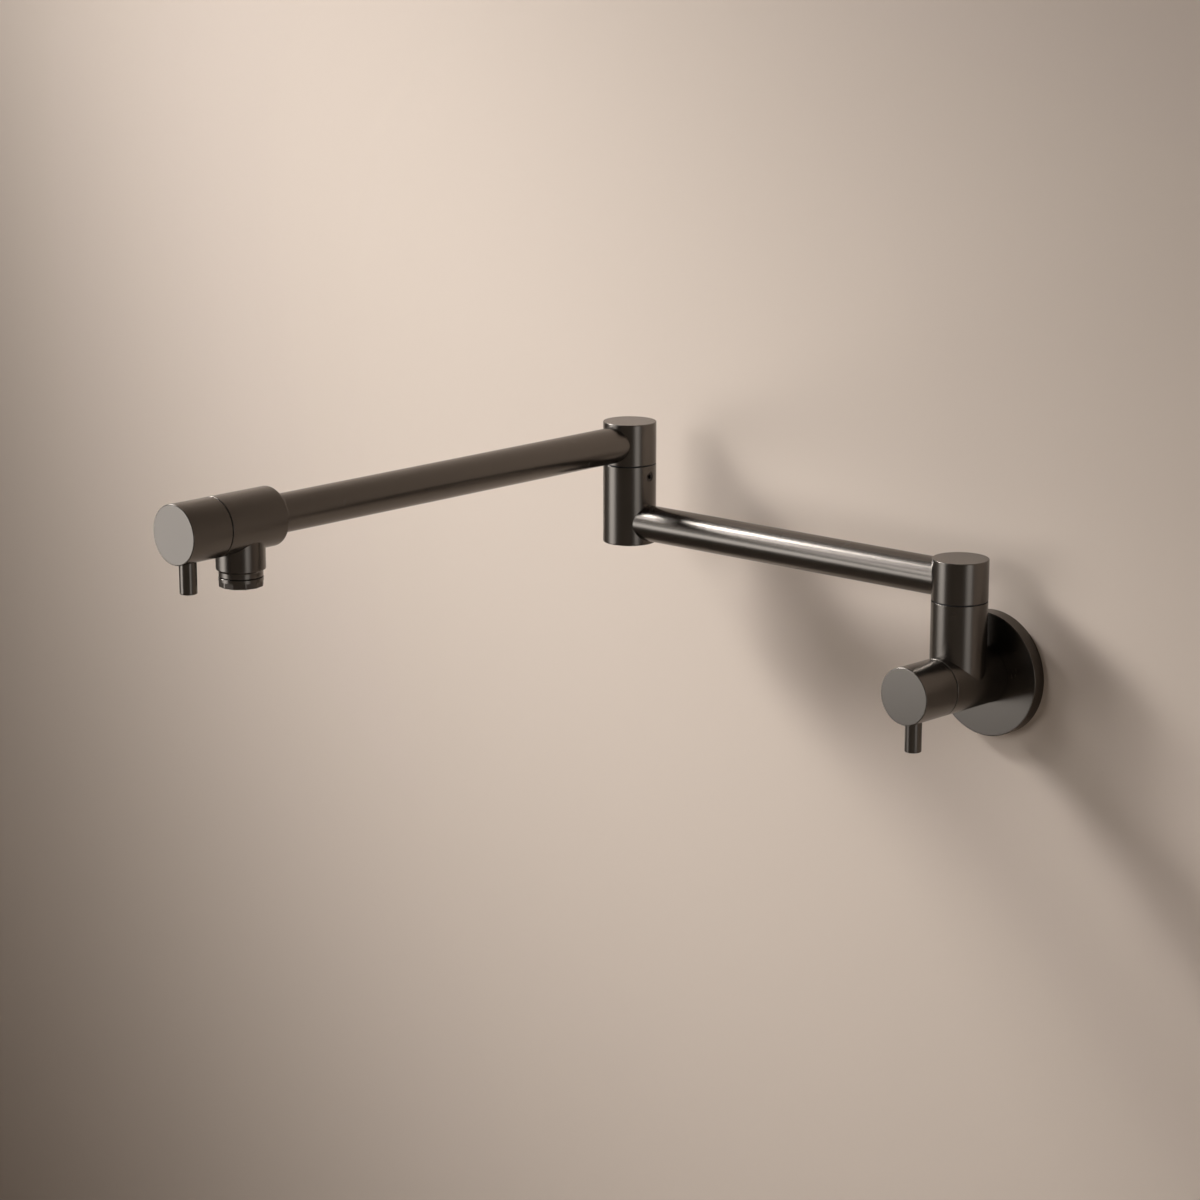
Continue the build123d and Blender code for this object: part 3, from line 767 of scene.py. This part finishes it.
# %% Knobs and lever pins
def knob_patches():
    """A drum along Z from its seam: back with its hollows, wall with the pin hole, and face."""
    face = [(barrel_radius, pin_station + pin_stretch), (barrel_radius, knob_length), (0, knob_length)]
    back = [
        (barrel_radius, pin_station - pin_stretch), (barrel_radius, knob_gap), (knob_hollow, knob_gap),
        (knob_hollow, hollow_depth), (spindle_bore, hollow_depth), (spindle_bore, spindle_room),
        (0, spindle_room),
    ]
    hole = [
        (pin_hole, pin_seat + pin_hole_lead), (pin_hole, pin_seat), (clamp_bore, pin_seat),
        (clamp_bore, clamp_floor), (0, clamp_floor),
    ]
    return [
        turn(eased(face), ring(BARREL_STEPS)),
        turn(eased(back, [knob_back_ease] + [FINE_EASE] * 4), ring(BARREL_STEPS)),
        *wall_with_hole(barrel_radius, pin_hole, pin_station, pin_stretch, BARREL_STEPS, PIN_COUNT),
        branch(barrel_radius, pin_hole, pin_station, eased(hole, FINE_EASE), PIN_COUNT),
    ]


def pin_patch():
    """A pin along Z: its threaded tail, its seat, its shank and its eased end."""
    corners = [
        (0, pin_tail_end), (pin_tail_radius, pin_tail_end), (pin_tail_radius, pin_foot),
        (pin_radius, pin_foot), (pin_radius, pin_reach), (0, pin_reach),
    ]
    return turn(eased(corners, [FINE_EASE] * 3 + [EDGE]), ring(PIN_STEPS))


for valve, seam_point, way in (("inlet", ROOM * inlet_seam, ROOM), ("outlet", outlet_seam_point, upper_way)):
    make_piece(
        f"{valve}_turn_knob", knob_patches(), standing(seam_point, way, -UP),
        f"{valve}_handle", f"{valve}_knob", gunmetal,
    )
    make_piece(
        f"{valve}_turn_pin", [pin_patch()], standing(seam_point + way * pin_station, -UP, way),
        f"{valve}_handle", f"{valve}_lever_pin", gunmetal,
    )

# %% [markdown]
# ## Brass, ceramic, rubber and plastic
#
# Most of the pieces are inside: the cartridges, their ceramic discs, the rubber rings and the journals.
# They show in seams, from behind and when the model is taken apart, so each gets the finish of its own
# material. These pieces have no brushing map, so their patterns read Object coordinates. Seven separate
# node trees would do, but they differ in numbers alone, so one function makes them all.

# %% One function for the inner finishes
GRAIN_RELIEF = 0.5


def grainy_finish(name, tones, patch_mm, grain_mm, gloss, relief_mm, metallic=0.0, cells=False):
    """A finish with two tones in soft patches, and a fine grain or round cells in gloss and relief.

    gloss is the lowest and highest roughness, relief_mm the height of the grain.
    """
    material, tree, shader = new_material(name)
    place = add_node(tree, "ShaderNodeTexCoord", {})
    patches = add_node(tree, "ShaderNodeTexNoise", {
        "Vector": place.outputs["Object"], "Scale": 1 / (patch_mm * MM), "Detail": 3.0,
    })
    grain = add_node(tree, "ShaderNodeTexVoronoi" if cells else "ShaderNodeTexNoise", {
        "Vector": place.outputs["Object"], "Scale": 1 / (grain_mm * MM),
    })
    height = grain.outputs["Distance" if cells else "Fac"]
    tone = add_node(tree, "ShaderNodeMix", {
        "Factor": patches.outputs["Fac"], "A": colour(tones[0]), "B": colour(tones[1]),
    }, data_type="RGBA")
    roughness = add_node(tree, "ShaderNodeMapRange", {
        "Value": height, "To Min": gloss[0], "To Max": gloss[1],
    })
    relief = add_node(tree, "ShaderNodeBump", {
        "Height": height, "Strength": GRAIN_RELIEF, "Distance": relief_mm * MM,
    })
    tree.links.new(tone.outputs["Result"], shader.inputs["Base Color"])
    tree.links.new(roughness.outputs["Result"], shader.inputs["Roughness"])
    tree.links.new(relief.outputs["Normal"], shader.inputs["Normal"])
    shader.inputs["Metallic"].default_value = metallic
    return material


print("the grain stands at", GRAIN_RELIEF, "of its full relief")

# %% Finishes of the inner pieces
# Machined brass: warm yellow, lightly tarnished in patches, with fine tool marks
brass = grainy_finish(
    "brass_machined", ("#a8823f", "#c9a765"),
    patch_mm=3.0, grain_mm=0.25, gloss=(0.2, 0.38), relief_mm=0.01, metallic=1.0,
)
# Lapped alumina ceramic: near white, dense and almost mirror smooth
ceramic = grainy_finish(
    "alumina_lapped", ("#dcd9d2", "#efede8"),
    patch_mm=4.0, grain_mm=0.3, gloss=(0.1, 0.2), relief_mm=0.002,
)
# Moulded nitrile rubber: black, dull, with a faint grey bloom
rubber = grainy_finish(
    "nitrile_rubber_moulded", ("#151515", "#262525"),
    patch_mm=2.5, grain_mm=0.15, gloss=(0.5, 0.7), relief_mm=0.02,
)
# Closed-cell foam: charcoal and matt, with round cells that show as pits
foam = grainy_finish(
    "neoprene_foam_cut", ("#343437", "#444447"),
    patch_mm=3.0, grain_mm=0.6, gloss=(0.75, 0.95), relief_mm=0.2, cells=True,
)
# Moulded acetal: milky, waxy plastic with a faint mould grain
acetal = grainy_finish(
    "acetal_moulded", ("#c4c3bd", "#d6d5d0"),
    patch_mm=5.0, grain_mm=0.2, gloss=(0.3, 0.42), relief_mm=0.01,
)
# Acetal filled with graphite, for bearing washers: dark grey and slippery
graphite_acetal = grainy_finish(
    "acetal_graphite_filled", ("#1d1d1f", "#2b2b2d"),
    patch_mm=2.0, grain_mm=0.2, gloss=(0.35, 0.5), relief_mm=0.01,
)
# Black oxide on screw steel: a warm near-black, slightly blotchy
oxide = grainy_finish(
    "steel_black_oxide", ("#46423f", "#56514d"),
    patch_mm=0.8, grain_mm=0.25, gloss=(0.3, 0.5), relief_mm=0.01, metallic=1.0,
)

finish_of_slot = {
    "gunmetal_steel": gunmetal, "brass": brass, "white_ceramic": ceramic, "black_rubber": rubber,
    "foam_rubber": foam, "acetal": acetal, "graphite_acetal": graphite_acetal, "dark_screw_steel": oxide,
}
for part in frame["record"]["subparts"]:
    mesh = frame["nodes"][part["node"]].data
    mesh.materials.clear()
    mesh.materials.append(finish_of_slot[part["material_slot"]])

# %% [markdown]
# ## The threaded nipple
#
# Behind the wall the tap screws into the water pipe with a half-inch pipe thread. A thread is a turned
# surface whose radius dips once in every pitch, and the dip moves along as it goes round. A cosine gives
# the rounded crests and roots of a pipe thread, and it fades in at the shoulder and out at the lead-in.

# %% Threaded nipple
THREAD_PITCH, THREAD_DEPTH, ROWS_A_PITCH = 1.814, 1.162, 18
lead_in, shoulder_rise, nipple_ease = 1.0, 0.1, 0.02
spigot_radius, water_radius = 9.5, 6.0
thread_radius = (nipple_high - nipple_low)[0] / 2
thread_length, spigot_end = nipple_high[1], -nipple_low[1]


def nipple_patch():
    """The thread, then the bore and the spigot in one loop with it.

    The thread's radius is envelope - depth * fade * (1 - cos(2 pi h / pitch - a)) / 2, with h the height
    and a the angle. The envelope narrows along the lead-in.
    """
    a = ring(BARREL_STEPS)[None, :]
    rows = int(thread_length / THREAD_PITCH * ROWS_A_PITCH)
    h = np.linspace(shoulder_rise, thread_length, rows)[:, None]
    envelope = thread_radius - np.clip(h - thread_length + lead_in, 0, lead_in)
    fade = np.clip((h - shoulder_rise) / THREAD_PITCH, 0, 1) * np.clip((thread_length - h) / lead_in, 0, 1)
    radius = envelope - THREAD_DEPTH * fade * (1 - np.cos(2 * np.pi * h / THREAD_PITCH - a)) / 2
    thread = np.stack([radius * np.sin(a), radius * np.cos(a), h + 0 * a], axis=2)
    thread_flow = np.stack([thread_radius * a + 0 * h, h + 0 * a], axis=2)
    rest = eased([
        (thread_radius - lead_in, thread_length), (water_radius, thread_length),
        (water_radius, -spigot_end), (spigot_radius, -spigot_end), (spigot_radius, 0),
        (thread_radius, 0), (thread_radius, shoulder_rise),
    ], nipple_ease)
    points, flow = turn(rest, a[0])
    return np.concatenate([thread, points]), np.concatenate([thread_flow, flow])


make_piece(
    "threaded_nipple", [nipple_patch()], standing((0, 0, 0), -ROOM, UP),
    "wall_valve", "inlet_nipple", brass,
)

# %% [markdown]
# ## The stage
#
# The pot filler hangs on a wall, so a plain warm wall is its backdrop, and a pale floor lies below. Both
# are flat sheets with a matt paint, and a slow noise in the paint keeps them from looking printed. Seen
# from behind, the wall would hide everything, so its back is clear: Backfacing picks between the paint and
# a transparent shader. A round hole behind the flange lets light from behind reach the flange's recess.

# %% Wall and floor
FLOOR_Z, WALL_TOP, ROOM_DEPTH = -0.75, 1.6, 20.0
LEFT, RIGHT = -20.0, 20.0
WALL_Y = -0.0001  # a hair in front of the flange's back, so that the two don't flicker
TROWEL_MM, WAVE_MM, WAVE_RELIEF, PAINT_ROUGHNESS = 200.0, 2.0, 0.15, 0.9
HOLE_COUNT, HIDDEN_EDGE_MM = 24, 1.0


def stage_sheet(name, corners, faces, material):
    """A flat sheet with the given corners and faces, which is not part of the object."""
    mesh = bpy.data.meshes.new(name)
    mesh.from_pydata(corners, [], faces)
    mesh.materials.append(material)
    sheet = bpy.data.objects.new(name, mesh)
    bpy.context.scene.collection.objects.link(sheet)


def painted_plaster(name, hex_code):
    """Matt paint on trowelled plaster: one colour, with slow shallow waves."""
    material, tree, shader = new_material(name)
    place = add_node(tree, "ShaderNodeTexCoord", {})
    trowel = add_node(tree, "ShaderNodeTexNoise", {
        "Vector": place.outputs["Object"], "Scale": 1 / (TROWEL_MM * MM), "Detail": 6.0,
    })
    waves = add_node(tree, "ShaderNodeBump", {
        "Height": trowel.outputs["Fac"], "Strength": WAVE_RELIEF, "Distance": WAVE_MM * MM,
    })
    shader.inputs["Base Color"].default_value = colour(hex_code)
    shader.inputs["Roughness"].default_value = PAINT_ROUGHNESS
    tree.links.new(waves.outputs["Normal"], shader.inputs["Normal"])
    return material, tree, shader


wall_paint, wall_tree, wall_shader = painted_plaster("wall_limewash", "#dacabc")
side = add_node(wall_tree, "ShaderNodeNewGeometry", {})
clear = add_node(wall_tree, "ShaderNodeBsdfTransparent", {})
one_sided = add_node(wall_tree, "ShaderNodeMixShader", {
    0: side.outputs["Backfacing"], 1: wall_shader.outputs["BSDF"], 2: clear.outputs["BSDF"],
})
wall_tree.links.new(one_sided.outputs["Shader"], wall_tree.nodes["Material Output"].inputs["Surface"])

round_hole = hole_angles(HOLE_COUNT)
hole_radius = (flange_radius - HIDDEN_EDGE_MM) * MM
hole_edge = np.stack([np.sin(round_hole), np.cos(round_hole)], axis=1) * hole_radius
wall_edge = square(HOLE_COUNT) * [(RIGHT - LEFT) / 2, (WALL_TOP - FLOOR_Z) / 2]
wall_edge += [(RIGHT + LEFT) / 2, (WALL_TOP + FLOOR_Z) / 2]
across, upright = np.concatenate([hole_edge, wall_edge]).T
wall_corners = np.stack([across, np.full_like(across, WALL_Y), upright], axis=1)
stage_sheet("wall_sheet", wall_corners, grid_faces(2, len(round_hole), 0), wall_paint)
floor_corners = [
    (LEFT, -ROOM_DEPTH, FLOOR_Z), (RIGHT, -ROOM_DEPTH, FLOOR_Z),
    (RIGHT, WALL_Y, FLOOR_Z), (LEFT, WALL_Y, FLOOR_Z),
]
floor_paint = painted_plaster("floor_pale_plaster", "#d8d0c6")[0]
stage_sheet("floor_sheet", floor_corners, [(0, 1, 2, 3)], floor_paint)
print("wall and floor are", RIGHT - LEFT, "m wide")

# %% [markdown]
# ## Light
#
# Satin metal is seen by what it mirrors, so the lamps are flat softboxes and each has a job. Two keys from
# high on the left throw the shadows and draw the streak along the lower arm. Two washes keep the wall
# bright behind the elbow and below it. A broad panel low on the left fills the faces of the knobs, and a
# smaller softbox on the right lights the round sides. Two lamps over the floor and one behind the wall
# serve the other sides. The near room is dim, which leaves the dark bands in the metal.

# %% Lamps
scene = bpy.context.scene
scene.view_settings.view_transform = "Standard"


def softbox(name, azimuth, elevation, target, size, watts, spread=180.0, distance=2.0):
    """A flat lamp at a distance from its target, on the side given by two angles, shining at the target.

    Azimuth is counted from +X towards +Y, and spread is the beam's angle, as a grid on the lamp gives it.
    """
    a, e = radians(azimuth), radians(elevation)
    away = Vector((np.cos(a) * np.cos(e), np.sin(a) * np.cos(e), np.sin(e)))
    lamp = bpy.data.lights.new(name, "AREA")
    lamp.shape = "RECTANGLE"
    lamp.size, lamp.size_y = size
    lamp.energy, lamp.spread = watts, radians(spread)
    item = bpy.data.objects.new(name, lamp)
    item.location = Vector(target) + away * distance
    item.rotation_euler = (-away).to_track_quat("-Z", "Y").to_euler()
    item.visible_camera = False
    scene.collection.objects.link(item)


ARM, WALL, LOW_WALL = (-0.2, -0.08, 0.03), (-0.45, 0.0, 0.2), (-0.3, 0.0, -0.15)
NEAR_FLOOR, FAR_FLOOR, FLANGE_BACK = (0.9, -1.4, FLOOR_Z), (-3.7, -1.8, FLOOR_Z), (0.0, 0.01, 0.0)
KEY_DISTANCE, FLOOR_LAMP_HEIGHT, FAR_LAMP_HEIGHT = 1.8, 2.6, 3.2
KEY, WASH, PANEL, SQUARE = (0.4, 0.4), (0.5, 0.5), (1.2, 0.65), (0.8, 0.8)
softbox("far_key", -160, 37, ARM, KEY, 1.74, 40, KEY_DISTANCE)
softbox("left_key", -152, 42, ARM, KEY, 1.52, 60, KEY_DISTANCE)
softbox("wall_wash", -124, 30, WALL, KEY, 0.2, 35, KEY_DISTANCE)
softbox("low_wash", -108, 22, LOW_WALL, WASH, 0.45, 45, KEY_DISTANCE)
softbox("left_softbox", -128, -6, ARM, PANEL, 0.98, 60)
softbox("right_softbox", -12, -4, ARM, SQUARE, 0.274, 50)
softbox("floor_lamp", -90, 90, NEAR_FLOOR, SQUARE, 2.2, 60, FLOOR_LAMP_HEIGHT)
softbox("far_floor_lamp", -90, 90, FAR_FLOOR, SQUARE, 6.0, 75, FAR_LAMP_HEIGHT)
softbox("back_softbox", 120, 30, FLANGE_BACK, SQUARE, 6.0)

# %% [markdown]
# ## The world around
#
# Past the floor's edge there is only the world. Behind the wall it is pale and lights the flange's back.
# In the room it is dim, but above the horizon the eye, and the metal, see a pale backdrop. Light Path tells
# those rays from the ones that only carry light, so the backdrop adds nothing to the wall.

# %% World
world = bpy.data.worlds.new("dim_studio")
world.use_nodes = True
tree = world.node_tree
look = add_node(tree, "ShaderNodeTexCoord", {})
parts = add_node(tree, "ShaderNodeSeparateXYZ", {"Vector": look.outputs["Generated"]})
behind = add_node(tree, "ShaderNodeMapRange", {
    "Value": parts.outputs["Y"], "From Min": -0.1, "From Max": 0.3,
})
above = add_node(tree, "ShaderNodeMapRange", {
    "Value": parts.outputs["Z"], "From Min": -0.06, "From Max": 0.1, "To Max": 0.5,
})
ray = add_node(tree, "ShaderNodeLightPath", {})
eye = add_node(tree, "ShaderNodeMath", {
    0: ray.outputs["Is Camera Ray"], 1: ray.outputs["Is Glossy Ray"],
}, operation="ADD")
seen = add_node(tree, "ShaderNodeMath", {
    0: eye.outputs["Value"], 1: ray.outputs["Is Transmission Ray"],
}, operation="ADD", use_clamp=True)
horizon = add_node(tree, "ShaderNodeMath", {
    0: above.outputs["Result"], 1: seen.outputs["Value"],
}, operation="MULTIPLY")
pale = add_node(tree, "ShaderNodeMath", {
    0: behind.outputs["Result"], 1: horizon.outputs["Value"],
}, operation="MAXIMUM")
studio = add_node(tree, "ShaderNodeMix", {
    "Factor": pale.outputs["Value"], "A": colour("#403b36"), "B": colour("#9c948c"),
}, data_type="RGBA")
tree.links.new(studio.outputs["Result"], tree.nodes["Background"].inputs["Color"])
scene.world = world
print("made the world", world.name)

# %% [markdown]
# ## Camera
#
# A long lens from the right, a little above the arms, as a product picture is taken. Its place, turn and
# dip were found by fitting the edges of the model to the edges in the picture.

# %% Camera
CAMERA_PLACE = (1.0482, -1.336, 0.4449)
CAMERA_TURN, CAMERA_DIP = 45.124, 13.5555
LENS_MM, SENSOR_MM = 99.3, 36.0
camera = bpy.data.objects.new("camera", bpy.data.cameras.new("camera"))
camera.data.lens, camera.data.sensor_width = LENS_MM, SENSOR_MM
camera.data.sensor_fit = "HORIZONTAL"
camera.location = CAMERA_PLACE
camera.rotation_euler = (radians(90 - CAMERA_DIP), 0, radians(CAMERA_TURN))
scene.collection.objects.link(camera)
scene.camera = camera
print(f"the camera is {np.linalg.norm(CAMERA_PLACE):.2f} m from the inlet")
